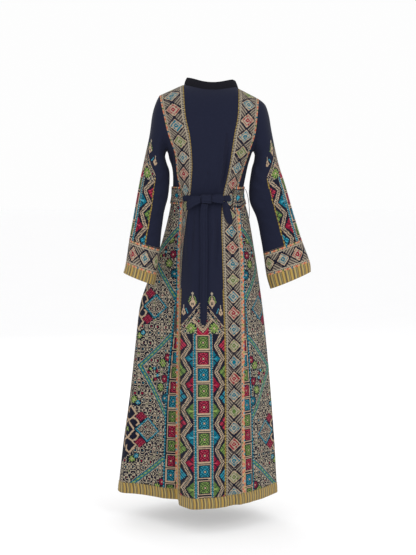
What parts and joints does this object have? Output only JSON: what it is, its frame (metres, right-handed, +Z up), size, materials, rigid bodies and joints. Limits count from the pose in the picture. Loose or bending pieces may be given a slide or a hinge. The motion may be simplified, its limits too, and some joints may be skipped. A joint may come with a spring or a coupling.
{
  "type": "palestinian thobe dress",
  "caption": "Long navy embroidered dress, worn form, with fitted waist, long sleeves, stand collar, striped hem and cuffs, embroidered belt and a tied sash at the back.",
  "frame": {"origin": "middle of the shoulder line, level with the neck points of the shoulder seams, where the wearer's shoulders hold the dress", "axes": "+Z up, -Y to the front of the dress, +X to the wearer's left"},
  "size_m": [0.6667, 0.4867, 1.4379],
  "materials": {
    "navy_crepe": "matt crepe",
    "embroidered_cloth": "cross stitch on navy ground",
    "striped_binding": "gold striped weave",
    "collar_cloth": "matt crepe"
  },
  "bodies": {
    "root": {"back_centre": "navy_crepe", "front_centre": "navy_crepe", "back_band_left": "embroidered_cloth", "back_band_right": "embroidered_cloth", "front_band_left": "embroidered_cloth", "front_band_right": "embroidered_cloth", "bodice_side_left": "navy_crepe", "bodice_side_right": "navy_crepe", "skirt_side_back_left": "embroidered_cloth", "skirt_side_back_right": "embroidered_cloth", "skirt_side_front_left": "embroidered_cloth", "skirt_side_front_right": "embroidered_cloth", "hem_binding_back": "striped_binding", "hem_binding_front": "striped_binding", "sleeve_left": "navy_crepe", "sleeve_right": "navy_crepe", "cuff_left": "embroidered_cloth", "cuff_right": "embroidered_cloth", "cuff_binding_left": "striped_binding", "cuff_binding_right": "striped_binding", "collar": "collar_cloth", "belt": "embroidered_cloth", "tie_left": "navy_crepe", "tie_right": "navy_crepe", "sash_knot": "navy_crepe", "bow_loop_left": "navy_crepe", "bow_loop_right": "navy_crepe", "tail_long": "navy_crepe", "tail_short": "navy_crepe", "side_tape": "navy_crepe"}
  },
  "joints": []
}
